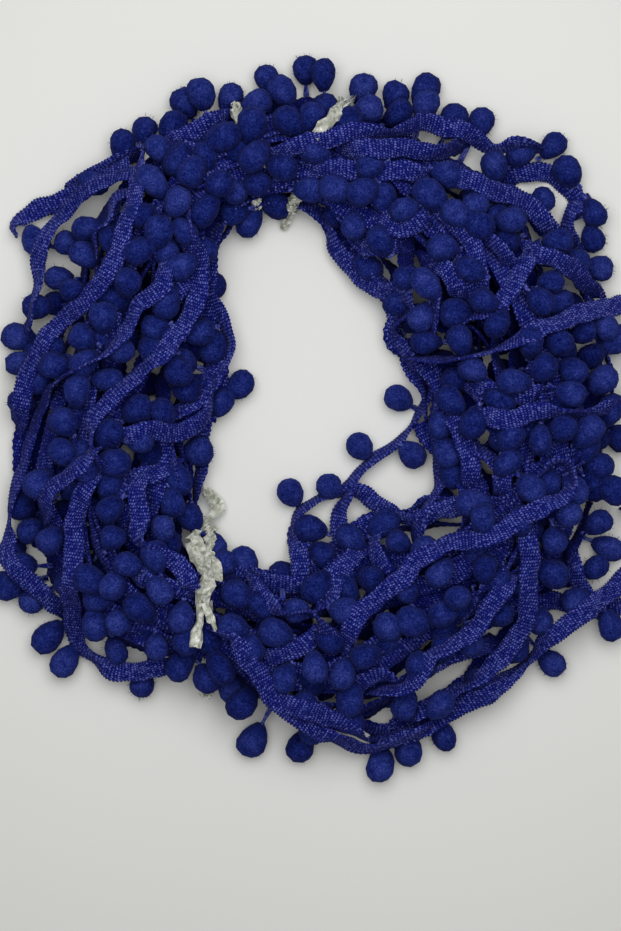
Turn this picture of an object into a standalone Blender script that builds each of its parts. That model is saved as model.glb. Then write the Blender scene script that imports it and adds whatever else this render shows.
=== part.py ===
# Pompom fringe trim: one long woven braid with pompoms on short stems along one edge,
# wound in a loose flat hank, lying on its side and held by three knotted film ties.
# Metres, +Z up. The origin is under the middle of the hank, on the surface it lies on.

import math
import random
from collections import namedtuple

import bmesh
import bpy
import numpy as np
from mathutils import Matrix, Vector

MM = 0.001

BRAID_WIDTH = 10.5 * MM
BRAID_THICK = 2.6 * MM
LOOSE_THICK = 1.8 * MM
POMPOM_LONG = 14.4 * MM
POMPOM_WIDE = 12.8 * MM
POMPOM_PITCH = 23.0 * MM
POMPOM_SINK = 2.0 * MM
POMPOM_REST = POMPOM_WIDE / 2 + 0.6 * MM
RIM_STEM = 15.0 * MM
STEM_LENGTH = 3.6 * MM
STEM_THICK = 2.2 * MM

EDGE_HEIGHT = 11.0 * MM
DOME_POWER = 2.4
CORE_INSET_IN = 7.0 * MM
CORE_INSET_OUT = 15.0 * MM
CORE_INSET_TOP = 11.0 * MM
CORE_FOOT = 1.0 * MM
CORE_STATIONS = 72
CORE_SIDES = 18
CORE_ROUND = 0.75
CORE_WAIST = 0.42
TURN_STEPS = 96

FILM_THICK = 0.9 * MM
TIE_STATIONS = 32
TIE_REACH_ROUND = 0.55
TIE_RISE_ROUND = 0.75
TIE_CLEAR = 22.0 * MM
GAP = 0.35 * MM
VOXEL = 1.8 * MM
HANK_TRIANGLES = 9300
FILL_POMPOMS = 52
FILL_SPACING = 12.5 * MM
FILL_DEPTH = 5.0 * MM
CLOSEST = 8.0 * MM
FILL_TRIES = 6000
RANDOM_SEED = 11

# The wreath in plan, by angle from +X: inner edge, outer edge and crest height in mm.
RingRow = namedtuple("RingRow", "angle inner outer crest")
RING = [RingRow(*row) for row in (
    (0.0, 53, 165, 46),
    (22.5, 55, 166, 47),
    (45.0, 60, 170, 46),
    (67.5, 76, 166, 44),
    (90.0, 104, 172, 43),
    (112.5, 104, 168, 45),
    (135.0, 68, 164, 47),
    (157.5, 46, 152, 47),
    (180.0, 49, 156, 46),
    (202.5, 56, 162, 45),
    (225.0, 76, 164, 44),
    (247.5, 78, 148, 43),
    (270.0, 70, 164, 43),
    (292.5, 54, 168, 43),
    (315.0, 62, 166, 43),
    (337.5, 67, 168, 45),
)]

# The stretches of braid that show on top. Lift is the height over the heap in mm, side the
# edge with the pompoms (1 left of the run, -1 right of it) and first the place of the first
# pompom in mm. Each point is x, y in mm and the lean: 0 lies flat, 90 stands on edge.
Strand = namedtuple("Strand", "lift side first points")
STRANDS = [Strand(*row) for row in (
    (2, -1, 6, ((-84, 133, 70), (-87, 113, 20), (-107, 74, 10), (-130, 53, 60), (-143, 20, 10))),
    (2, 1, 12, ((-53, 70, 20), (-76, 36, 20), (-103, 10, 30), (-110, -14, 70), (-106, -24, 40))),
    (1, 1, 4, ((-72, 80, 30), (-86, 59, 40), (-102, 33, 80), (-131, 17, 80), (-148, -22, 60))),
    (0, 1, 10, ((-148, -22, 60), (-154, -50, 80), (-151, -72, 10), (-127, -95, 0))),
    (0, 1, 9, ((-86, 125, 20), (-105, 117, 20), (-127, 100, 50), (-138, 74, 80))),
    (1, 1, 5, ((-70, 140, 20), (-55, 147, 10), (-30, 150, 30), (0, 138, 40), (38, 143, 50))),
    (2, -1, 14, ((0, 134, 30), (44, 136, 10), (61, 134, 40), (75, 138, 60))),
    (0, -1, 7, ((0, 127, 30), (44, 125, 10), (75, 121, 10), (109, 109, 0), (120, 98, 20))),
    (1, 1, 8, ((59, 148, 30), (87, 137, 10), (119, 125, 10), (134, 106, 60))),
    (-8, 1, 12, ((6, 97, 80), (25, 70, 60), (44, 66, 60), (53, 56, 60), (43, 44, 70), (56, 20, 80))),
    (1, 1, 11, ((111, 85, 30), (99, 63, 20), (79, 51, 70), (73, 46, 60))),
    (2, -1, 5, ((112, 86, 20), (132, 75, 30), (150, 62, 10))),
    (2, -1, 9, ((164, 60, 10), (129, 56, 20), (99, 42, 60), (69, 32, 80))),
    (1, 1, 4, ((83, 16, 20), (102, 14, 10), (117, 15, 40))),
    (2, -1, 13, ((88, 3, 30), (113, 6, 10), (142, 6, 70), (166, 18, 20))),
    (2, 1, 8, ((70, 6, 20), (79, -18, 0), (82, -33, 20))),
    (1, -1, 10, ((103, -14, 10), (98, -26, 0), (97, -37, 20))),
    (3, 1, 15, ((117, -26, 80), (124, -21, 80), (132, -30, 70), (122, -41, 40), (100, -54, 10))),
    (3, -1, 6, ((100, -54, 10), (78, -61, 20), (54, -70, 20), (32, -90, 0), (18, -110, 10))),
    (2, 1, 16, ((108, -59, 10), (107, -85, 0), (99, -111, 10), (79, -131, 50), (66, -138, 50))),
    (1, -1, 12, ((100, -79, 30), (81, -102, 40), (58, -113, 40), (36, -135, 70))),
    (0, -1, 7, ((160, -75, 20), (131, -98, 0), (112, -117, 80), (84, -138, 0), (45, -158, 40))),
    (2, 1, 12, ((28, -62, 20), (15, -76, 10), (4, -94, 70), (-12, -97, 80), (-31, -76, 10))),
    (-3, 1, 9, ((20, -43, 50), (38, -47, 30), (54, -50, 40), (74, -44, 20), (88, -41, 30))),
    (-3, -1, 9, ((-8, -58, 20), (-6, -70, 0), (-5, -84, 10))),
    (2, -1, 4, ((-37, -110, 30), (-19, -135, 0), (5, -154, 10), (28, -163, 60), (45, -158, 40))),
    (1, 1, 9, ((-25, -120, 20), (-10, -117, 10), (7, -107, 40))),
    (2, 1, 11, ((-109, -24, 0), (-119, -56, 0), (-121, -100, 0), (-109, -120, 40), (-74, -124, 10))),
    (2, 1, 6, ((-86, -24, 0), (-86, -57, 20), (-72, -67, 20), (-57, -86, 40))),
    (2, 1, 10, ((-94, -8, 30), (-66, -6, 10), (-47, 4, 60))),
)]

# Whole turns low in the heap. Lane runs from 0 at the inner edge to 1 at the outer one, wave
# is how far the turn wanders between lanes, and height is over the floor in mm.
Turn = namedtuple("Turn", "lane wave waves height side")
TURNS = [Turn(*row) for row in (
    (0.04, 0.04, 5, 12, 1),
    (0.12, 0.05, 4, 26, 1),
    (0.93, 0.04, 5, 9, -1),
    (0.86, 0.05, 4, 17, -1),
)]

# Pompoms that lie loose on the floor round the outer edge: x and y in mm.
RIM_POMPOMS = (
    (-29, -165), (-5, -168), (37, -178), (51, -169), (68, -162), (124, -125), (155, -106),
    (-136, -112), (-128, -124), (-147, -94), (-152, 44), (-160, 13), (-63, 160), (-39, 163),
    (-85, 147), (-19, 172), (0, 176), (27, 171), (60, 166), (87, 152), (124, 141), (131, 127),
    (145, 103), (149, 79),
)

# The cut end of the braid, at the upper left: x, y and height in mm, then the lean.
LOOSE_END = (
    (-92, 131, 28, 20), (-105, 126, 23, 15), (-119, 118, 17, 10), (-136, 110, 8, 5), (-152, 104, 2, 0),
)
LOOSE_END_FIRST = 42 * MM

# A turn that has slipped into the hole and lies there on the floor.
INNER_BOW = (
    (66, 34, 12, 60), (62, 14, 6, 60), (46, -10, 6, 80), (31, -21, 6, 50),
    (15, -37, 6, 80), (-6, -46, 7, 60), (-11, -60, 9, 30),
)
BOW_POMPOMS = ((46, 13), (51, -18), (25, -10), (9, -30), (-11, -36))

# Film ties: a loop round the bundle in an upright plane, from an inner to an outer point, its
# crest over the floor and its width, and the free ends on top. Each free end starts in a knot
# on the loop. Points are x, y and height in mm.
Tie = namedtuple("Tie", "name inner outer crest width tails")
TIES = [Tie(*row) for row in (
    ("film_tie_low", (-51, -52), (-54, -146), 41, 6.5, (
        ((-52, -77, 45), (-59, -66, 43), (-53, -53, 36), (-47, -44, 29), (-52, -35, 24)),
        ((-52, -77, 45), (-54, -91, 47), (-57, -104, 47), (-58, -115, 44)),
    )),
    ("film_tie_top", (-13, 97), (22, 174), 38, 6.0, (
        ((4, 136, 42), (9, 147, 44), (15, 157, 42), (22, 165, 37)),
        ((4, 136, 42), (-6, 115, 43), (-11, 103, 37), (-12, 94, 29)),
    )),
    ("film_tie_side", (-25, 101), (-38, 168), 38, 5.0, ()),
)]
KNOT_HALF = (4.2, 4.2, 4.8)

PLUSH_BLUE = (0.024, 0.031, 0.165, 1.0)
BRAID_BLUE = (0.034, 0.038, 0.215, 1.0)
FILM_WHITE = (0.72, 0.74, 0.70, 1.0)


def clear_scene():
    for old in list(bpy.data.objects):
        bpy.data.objects.remove(old, do_unlink=True)


def new_collection(name):
    made = bpy.data.collections.new(name)
    bpy.context.scene.collection.children.link(made)
    return made


def principled(name, colour, roughness, transmission=0.0):
    material = bpy.data.materials.new(name)
    material.use_nodes = True
    shader = material.node_tree.nodes["Principled BSDF"]
    shader.inputs["Base Color"].default_value = colour
    shader.inputs["Roughness"].default_value = roughness
    shader.inputs["Metallic"].default_value = 0.0
    shader.inputs["Transmission Weight"].default_value = transmission
    material.diffuse_color = colour
    return material


def ring_at(angle):
    """Inner edge, outer edge and crest of the wreath at an angle, smooth all the way round."""
    count = len(RING)
    place = (math.degrees(angle) % 360.0) / 360.0 * count
    row = int(place)
    share = place - row
    rows = [np.array(RING[(row + step) % count][1:], float) for step in (-1, 0, 1, 2)]
    return catmull(rows, share) * MM


def catmull(four, share):
    before, start, end, after = four
    return 0.5 * (
        2.0 * start
        + (end - before) * share
        + (2.0 * before - 5.0 * start + 4.0 * end - after) * share ** 2
        + (3.0 * start - before - 3.0 * end + after) * share ** 3
    )


def heap_height(x, y):
    """Height of the heap's surface over the floor, falling to the floor outside its edges."""
    inner, outer, crest = ring_at(math.atan2(y, x))
    lane = (math.hypot(x, y) - inner) / (outer - inner)
    if lane < 0.0 or lane > 1.0:
        past = max(-lane, lane - 1.0) * (outer - inner)
        return max(EDGE_HEIGHT - past, 0.0)
    return EDGE_HEIGHT + (crest - EDGE_HEIGHT) * (1.0 - abs(2.0 * lane - 1.0) ** DOME_POWER)


def smooth_route(points, step=4.0 * MM):
    """Points at an even step on a smooth curve through the given ones, all their columns."""
    rows = np.array(points, float)
    rows = np.vstack([2 * rows[0] - rows[1], rows, 2 * rows[-1] - rows[-2]])
    fine = []
    for start in range(1, len(rows) - 2):
        for share in np.linspace(0.0, 1.0, 16, endpoint=False):
            fine.append(catmull(rows[start - 1:start + 3], share))
    fine.append(rows[-2])
    fine = np.array(fine)
    walked = np.concatenate([[0.0], np.cumsum(np.linalg.norm(np.diff(fine[:, :3], axis=0), axis=1))])
    count = max(int(round(walked[-1] / step)), 2)
    at = np.linspace(0.0, walked[-1], count + 1)
    return np.array([[np.interp(s, walked, fine[:, c]) for c in range(fine.shape[1])] for s in at])


def frames(route):
    """Tangent, width direction and face direction at each point of a route with a lean."""
    tangents = np.gradient(route[:, :3], axis=0)
    out = []
    for tangent, lean in zip(tangents, np.radians(route[:, 3])):
        along = Vector(tangent).normalized()
        level = Vector((0, 0, 1)).cross(along).normalized()
        face = along.cross(level)
        across = level * math.cos(lean) + face * math.sin(lean)
        out.append((along, across, along.cross(across)))
    return out


def add_strip(bm, route, width, thick, grow=0.0):
    """A closed flat strip lofted along a route."""
    half_w = width / 2 + grow
    half_t = thick / 2 + grow
    rings = []
    ends = (0, len(route) - 1)
    for at, (along, across, face) in enumerate(frames(route)):
        centre = Vector(route[at][:3])
        if at in ends:
            centre += along * (grow if at else -grow)
        corners = ((-half_w, -half_t), (half_w, -half_t), (half_w, half_t), (-half_w, half_t))
        rings.append([bm.verts.new(centre + across * u + face * v) for u, v in corners])
    for first, second in zip(rings, rings[1:]):
        for side in range(4):
            after = (side + 1) % 4
            bm.faces.new((first[side], first[after], second[after], second[side]))
    bm.faces.new(rings[0][::-1])
    bm.faces.new(rings[-1])


def add_pompom(bm, centre, axis, grow=0.0, detail=2):
    """A ball a little longer along its stem."""
    turn = Vector((0, 0, 1)).rotation_difference(axis).to_matrix().to_4x4()
    size = Matrix.Diagonal((POMPOM_WIDE / 2 + grow, POMPOM_WIDE / 2 + grow, POMPOM_LONG / 2 + grow, 1))
    bmesh.ops.create_icosphere(
        bm, subdivisions=detail, radius=1.0, matrix=Matrix.Translation(centre) @ turn @ size
    )


def add_stem(bm, start, end, grow=0.0):
    """The short double cord between the braid's edge and its pompom."""
    axis = end - start
    turn = Vector((0, 0, 1)).rotation_difference(axis).to_matrix().to_4x4()
    bmesh.ops.create_cone(
        bm, segments=6, radius1=STEM_THICK / 2 + grow, radius2=STEM_THICK / 2 + grow,
        depth=axis.length, cap_ends=True, matrix=Matrix.Translation((start + end) / 2) @ turn,
    )


def hung_pompoms(route, side, first):
    """Stem root, pompom centre and stem direction of each pompom along a route's edge."""
    steps = np.linalg.norm(np.diff(route[:, :3], axis=0), axis=1)
    walked = np.concatenate([[0.0], np.cumsum(steps)])
    out = []
    place = first
    reach = STEM_LENGTH + POMPOM_LONG / 2
    turns = frames(route)
    while place < walked[-1]:
        at = int(np.searchsorted(walked, place))
        across = turns[at][1] * side
        root = Vector(route[at][:3]) + across * (BRAID_WIDTH / 2)
        flat = Vector((across.x, across.y, 0.0))
        flat = flat.normalized() if flat.length > 0.2 else turns[at][0].cross(Vector((0, 0, 1))) * side
        centre = root + flat * reach
        centre.z = max(heap_height(centre.x, centre.y) - POMPOM_SINK, POMPOM_REST)
        centre.z = min(centre.z, root.z + reach)
        out.append((root, centre, (centre - root).normalized()))
        place += POMPOM_PITCH
    return out


def strand_route(row):
    placed = []
    for x, y, lean in row.points:
        height = max(heap_height(x * MM, y * MM) + row.lift * MM, BRAID_WIDTH / 2 + 1 * MM)
        placed.append((x * MM, y * MM, height, lean))
    return smooth_route(placed)


def turn_route(row, shift):
    placed = []
    for step in range(TURN_STEPS + 1):
        angle = math.tau * step / TURN_STEPS
        inner, outer, _crest = ring_at(angle)
        lane = row.lane + row.wave * math.sin(row.waves * angle + shift)
        radius = inner + (outer - inner) * lane
        lean = 45.0 + 35.0 * math.sin(3.0 * angle + 2.0 * shift)
        placed.append((radius * math.cos(angle), radius * math.sin(angle), row.height * MM, lean))
    return smooth_route(placed)


def add_core(bm):
    """The packed middle of the heap: a low dome in section, with a flat foot."""
    rings = []
    for station in range(CORE_STATIONS):
        angle = math.tau * station / CORE_STATIONS
        inner, outer, crest = ring_at(angle)
        low, high = inner + CORE_INSET_IN, outer - CORE_INSET_OUT
        middle, half = (low + high) / 2, (high - low) / 2
        top = crest - CORE_INSET_TOP
        ring = []
        for side in range(CORE_SIDES):
            turn = math.tau * side / CORE_SIDES
            out = math.copysign(abs(math.cos(turn)) ** CORE_ROUND, math.cos(turn))
            up = math.sin(turn)
            rise = top * (1.0 - CORE_WAIST) if up > 0 else top * CORE_WAIST + CORE_FOOT
            height = top * CORE_WAIST + rise * up
            radius = middle + half * out
            ring.append(bm.verts.new((radius * math.cos(angle), radius * math.sin(angle), height)))
        rings.append(ring)
    for at, ring in enumerate(rings):
        after = rings[(at + 1) % CORE_STATIONS]
        for side in range(CORE_SIDES):
            other = (side + 1) % CORE_SIDES
            bm.faces.new((ring[side], after[side], after[other], ring[other]))


def far_enough(spot, others, spacing):
    return all((spot - other).length > spacing for other in others)


def hank_cage():
    """Everything in the wound hank as overlapping closed shells."""
    bm = bmesh.new()
    add_core(bm)
    hung = []
    for row in STRANDS:
        route = strand_route(row)
        add_strip(bm, route, BRAID_WIDTH, BRAID_THICK)
        hung += hung_pompoms(route, row.side, row.first * MM)
    for number, row in enumerate(TURNS):
        route = turn_route(row, 1.7 * number)
        add_strip(bm, route, BRAID_WIDTH, BRAID_THICK)
        hung += hung_pompoms(route, row.side, (4 + 5 * number) * MM)
    for x, y in RIM_POMPOMS:
        centre = Vector((x * MM, y * MM, POMPOM_REST))
        inward = Vector((-x, -y, 6.0)).normalized()
        hung.append((centre + inward * RIM_STEM, centre, -inward))
    places = []
    for root, centre, axis in hung:
        if not far_enough(centre, places, CLOSEST):
            continue
        places.append(centre)
        add_pompom(bm, centre, axis)
        add_stem(bm, root, centre)
    draw = random.Random(RANDOM_SEED)
    added = 0
    tries = 0
    while added < FILL_POMPOMS and tries < FILL_TRIES:
        tries += 1
        angle = draw.uniform(0.0, math.tau)
        inner, outer, _crest = ring_at(angle)
        radius = inner + (outer - inner) * draw.uniform(0.06, 0.94)
        x, y = radius * math.cos(angle), radius * math.sin(angle)
        centre = Vector((x, y, max(heap_height(x, y) - FILL_DEPTH, POMPOM_REST)))
        if far_enough(centre, places, FILL_SPACING):
            places.append(centre)
            axis = Vector((draw.uniform(-1, 1), draw.uniform(-1, 1), draw.uniform(-0.3, 0.3)))
            add_pompom(bm, centre, axis.normalized())
            added += 1
    print("pompoms in the hank:", len(places))
    return bm


def link_mesh(name, mesh, collection, material=None):
    made = bpy.data.objects.new(name, mesh)
    collection.objects.link(made)
    if material:
        mesh.materials.append(material)
    return made


def object_from(bm, name, collection, material=None):
    bmesh.ops.recalc_face_normals(bm, faces=bm.faces)
    mesh = bpy.data.meshes.new(name)
    bm.to_mesh(mesh)
    bm.free()
    return link_mesh(name, mesh, collection, material)


def settle(target):
    """Bake the modifiers of an object into its mesh."""
    graph = bpy.context.evaluated_depsgraph_get()
    baked = bpy.data.meshes.new_from_object(target.evaluated_get(graph))
    old = target.data
    target.modifiers.clear()
    target.data = baked
    bpy.data.meshes.remove(old)


def keep_largest_shell(target):
    """Drop loose bits and closed pockets, so that one outer skin is left."""
    bm = bmesh.new()
    bm.from_mesh(target.data)
    left = set(bm.verts)
    shells = []
    while left:
        front = [left.pop()]
        shell = set(front)
        while front:
            for edge in front.pop().link_edges:
                for vert in edge.verts:
                    if vert not in shell:
                        shell.add(vert)
                        left.discard(vert)
                        front.append(vert)
        shells.append(shell)
    keep = max(shells, key=len)
    bmesh.ops.delete(bm, geom=[v for v in bm.verts if v not in keep], context="VERTS")
    bm.to_mesh(target.data)
    bm.free()


def boolean(target, other, operation):
    modifier = target.modifiers.new(operation.title(), "BOOLEAN")
    modifier.operation = operation
    modifier.object = other
    modifier.solver = "EXACT"
    settle(target)


def as_cutter(target):
    target.hide_render = True
    target.display_type = "WIRE"
    return target


def shade_round(target):
    target.data.shade_smooth()
    target.data.set_sharp_from_angle(angle=math.radians(40.0))


def wound_hank(collection, material):
    hank = object_from(hank_cage(), "wound_hank", collection, material)
    remesh = hank.modifiers.new("Fuse", "REMESH")
    remesh.mode = "VOXEL"
    remesh.voxel_size = VOXEL
    settle(hank)
    keep_largest_shell(hank)
    thin = hank.modifiers.new("Thin", "DECIMATE")
    thin.ratio = HANK_TRIANGLES / (2.0 * len(hank.data.polygons))
    thin.use_collapse_triangulate = True
    settle(hank)
    return hank


def fringe_piece(name, route, hung, collection, material=None, grow=0.0):
    """A strip of braid with its own pompoms, fused to one closed solid."""
    bm = bmesh.new()
    add_strip(bm, route, BRAID_WIDTH, LOOSE_THICK, grow)
    piece = object_from(bm, name, collection, material)
    for root, centre, axis in hung:
        for add, values in ((add_pompom, (centre, axis, grow, 2)), (add_stem, (root, centre, grow))):
            bm = bmesh.new()
            add(bm, *values)
            other = object_from(bm, "fused", collection)
            boolean(piece, other, "UNION")
            bpy.data.objects.remove(other, do_unlink=True)
    return piece


def end_route():
    return smooth_route([(x * MM, y * MM, z * MM, lean) for x, y, z, lean in LOOSE_END])


def bow_route():
    return smooth_route([(x * MM, y * MM, z * MM, lean) for x, y, z, lean in INNER_BOW])


def end_hung(route):
    return hung_pompoms(route, 1, LOOSE_END_FIRST)[:1]


def bow_hung(route):
    """Pompoms on the bow, each from the nearest place on the braid."""
    out = []
    for x, y in BOW_POMPOMS:
        centre = Vector((x * MM, y * MM, POMPOM_REST))
        nearest = min(route, key=lambda row: (Vector(row[:3]) - centre).length)
        root = Vector(nearest[:3])
        axis = Vector((centre.x - root.x, centre.y - root.y, 0.0)).normalized()
        out.append((root, centre, axis))
    return out


def tie_loop(row, grow=0.0, clear=0.0):
    """The loop of a tie as a closed band. Clear is added on its outer side."""
    start = Vector((*row.inner, 0.0)) * MM
    end = Vector((*row.outer, 0.0)) * MM
    along = (end - start).normalized()
    across = Vector((-along.y, along.x, 0.0))
    half = (end - start).length / 2
    middle = (start + end) / 2
    low = FILM_THICK + 0.1 * MM
    rise = (row.crest * MM - low) / 2
    bm = bmesh.new()
    rings = []
    for station in range(TIE_STATIONS):
        turn = math.tau * station / TIE_STATIONS
        reach = math.copysign(abs(math.cos(turn)) ** TIE_REACH_ROUND, math.cos(turn))
        up = math.copysign(abs(math.sin(turn)) ** TIE_RISE_ROUND, math.sin(turn))
        outward = (along * reach + Vector((0, 0, up))).normalized()
        place = middle + along * (half * reach) + Vector((0, 0, low + rise + rise * up))
        ring = []
        for side, skin in ((-1, 0), (1, 0), (1, 1), (-1, 1)):
            out = outward * (FILM_THICK + grow + clear if skin else -grow)
            ring.append(bm.verts.new(place + across * (side * (row.width * MM / 2 + grow)) + out))
        rings.append(ring)
    for at, ring in enumerate(rings):
        after = rings[(at + 1) % TIE_STATIONS]
        for side in range(4):
            other = (side + 1) % 4
            bm.faces.new((ring[side], ring[other], after[other], after[side]))
    return bm


def tie_knot(place, grow=0.0, clear=0.0):
    """The knot, a flattened ball. With clear it becomes a post that reaches up past the heap."""
    half = Vector(KNOT_HALF) * MM + Vector((grow, grow, grow + clear))
    size = Matrix.Diagonal((*half, 1.0))
    at = Matrix.Translation(Vector(place) * MM + Vector((0.0, 0.0, clear))) @ size
    bm = bmesh.new()
    if clear:
        bmesh.ops.create_cone(
            bm, segments=12, radius1=1.0, radius2=1.0, depth=2.0, cap_ends=True, matrix=at
        )
    else:
        bmesh.ops.create_icosphere(bm, subdivisions=2, radius=1.0, matrix=at)
    return bm


def tie_tail(points, width, grow=0.0, clear=0.0):
    """A free end of film. With clear it reaches up past the heap."""
    route = smooth_route([(x * MM, y * MM, (z * MM) + clear / 2, 0.0) for x, y, z in points], 5.0 * MM)
    bm = bmesh.new()
    add_strip(bm, route, width * MM, FILM_THICK + clear, grow)
    return bm


def tie_pieces(row, grow=0.0, clear=0.0):
    pieces = [tie_loop(row, grow, clear)]
    if row.tails:
        pieces.append(tie_knot(row.tails[0][0], grow, clear))
    return pieces + [tie_tail(points, row.width, grow, clear) for points in row.tails]


def film_tie(row, hank, collection, guides, material):
    """A tie in one piece, and its bed pressed into the hank."""
    meshes = tie_pieces(row)
    tie = object_from(meshes[0], row.name, collection, material)
    for bm in meshes[1:]:
        other = object_from(bm, "fused", collection)
        boolean(tie, other, "UNION")
        bpy.data.objects.remove(other, do_unlink=True)
    for number, bm in enumerate(tie_pieces(row, GAP, TIE_CLEAR)):
        bed = as_cutter(object_from(bm, f"{row.name}_bed_{number + 1}", guides))
        boolean(hank, bed, "DIFFERENCE")


def stand_on_origin(collection):
    """Move the whole trim so that the origin is under the middle of its box."""
    points = np.array([vertex.co for made in collection.objects for vertex in made.data.vertices])
    middle = (points.min(axis=0) + points.max(axis=0)) / 2
    for made in collection.objects:
        made.data.transform(Matrix.Translation((-middle[0], -middle[1], 0.0)))


def build():
    clear_scene()
    trim = new_collection("Pompom fringe trim")
    guides = new_collection("Guides")
    blue = principled("Plush and braid blue", PLUSH_BLUE, 0.9)
    braid = principled("Braid blue", BRAID_BLUE, 0.8)
    film = principled("Clear film", FILM_WHITE, 0.35, 0.5)
    hank = wound_hank(trim, blue)

    floor_box = bmesh.new()
    bmesh.ops.create_cube(floor_box, size=1.0, matrix=Matrix.Translation((0, 0, -0.5)))
    floor = as_cutter(object_from(floor_box, "Below the floor", guides))
    boolean(hank, floor, "DIFFERENCE")

    for name, route, hung in (
        ("loose_end", end_route(), end_hung(end_route())),
        ("inner_bow", bow_route(), bow_hung(bow_route())),
    ):
        fringe_piece(name, route, hung, trim, braid)
        room = as_cutter(fringe_piece(name + "_room", route, hung, guides, None, GAP))
        boolean(hank, room, "DIFFERENCE")
    for row in TIES:
        film_tie(row, hank, trim, guides, film)
    keep_largest_shell(hank)
    stand_on_origin(trim)
    print("hank triangles", sum(len(p.vertices) - 2 for p in hank.data.polygons))
    for made in trim.objects:
        shade_round(made)


build()
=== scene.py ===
import random
from collections import namedtuple
from functools import partial
from math import atan2, copysign, cos, degrees, hypot, pi, sin, sqrt, tau

import bpy
import numpy as np
from mathutils import Matrix, Vector


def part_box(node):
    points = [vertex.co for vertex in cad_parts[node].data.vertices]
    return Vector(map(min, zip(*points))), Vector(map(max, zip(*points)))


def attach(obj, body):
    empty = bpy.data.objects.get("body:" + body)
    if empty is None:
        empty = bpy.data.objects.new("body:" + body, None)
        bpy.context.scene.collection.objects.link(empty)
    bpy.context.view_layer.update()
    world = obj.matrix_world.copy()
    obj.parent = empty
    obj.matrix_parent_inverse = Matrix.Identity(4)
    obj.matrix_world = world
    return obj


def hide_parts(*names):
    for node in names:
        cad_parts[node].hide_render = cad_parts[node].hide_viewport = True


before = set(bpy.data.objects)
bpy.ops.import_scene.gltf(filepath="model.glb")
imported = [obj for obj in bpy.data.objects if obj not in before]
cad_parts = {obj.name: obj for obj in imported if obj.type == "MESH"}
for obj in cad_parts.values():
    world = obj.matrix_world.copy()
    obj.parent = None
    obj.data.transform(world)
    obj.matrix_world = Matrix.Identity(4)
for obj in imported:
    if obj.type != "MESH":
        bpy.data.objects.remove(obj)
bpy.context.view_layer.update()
mm = 0.001
draw = random.Random(7)

# The plan is in mm. Its zero is moved so that the middle of the side tie lies where its node lies.
tieMiddle = Vector((-31.5, 134.5, 0))
tieLow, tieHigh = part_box("film_tie_side")
planShift = ((tieLow + tieHigh) / 2 / mm) - tieMiddle

# The camera looks straight down on x, y from its height. Left and top are the corner of its view.
view = {
    "x": 0.25, "y": -22.75, "height": 1045, "focus": 45, "imageLong": 465.5, "sensor": 36,
    "farthest": 20, "left": 155, "top": 210,
}


def putCamera():
    bpy.ops.object.camera_add(location=(
        (view["x"] + planShift.x) * mm, (view["y"] + planShift.y) * mm, view["height"] * mm))
    camera = bpy.context.object
    camera.name = "overheadCamera"
    camera.data.sensor_width = view["sensor"]
    camera.data.lens = view["sensor"] * (view["height"] - view["focus"]) / view["imageLong"]
    camera.data.clip_end = view["farthest"]
    bpy.context.scene.camera = camera


def planOf(column, row):
    # from halves of a mm off the upper left corner of the view to the plan
    return column / 2 - view["left"], view["top"] - row / 2


def fromView(x, y, z):
    # where a point seen at x, y on the heap's crest lies if it is at height z
    share = (view["height"] - z) / (view["height"] - view["focus"])
    return view["x"] + (x - view["x"]) * share, view["y"] + (y - view["y"]) * share


putCamera()
print("camera over the hank")

# The wreath by angle from +X: inner edge, outer edge and crest, in mm.
ringRow = namedtuple("ringRow", "angle inner outer crest")
ring = [ringRow(*row) for row in (
    (0, 53, 165, 46), (22.5, 55, 166, 47), (45, 60, 170, 46), (67.5, 76, 166, 44),
    (90, 104, 172, 43), (112.5, 104, 168, 45), (135, 68, 164, 47), (157.5, 46, 152, 47),
    (180, 49, 156, 46), (202.5, 56, 162, 45), (225, 76, 164, 44), (247.5, 78, 148, 43),
    (270, 70, 164, 43), (292.5, 54, 168, 43), (315, 62, 166, 43), (337.5, 67, 168, 45),
)]

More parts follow.
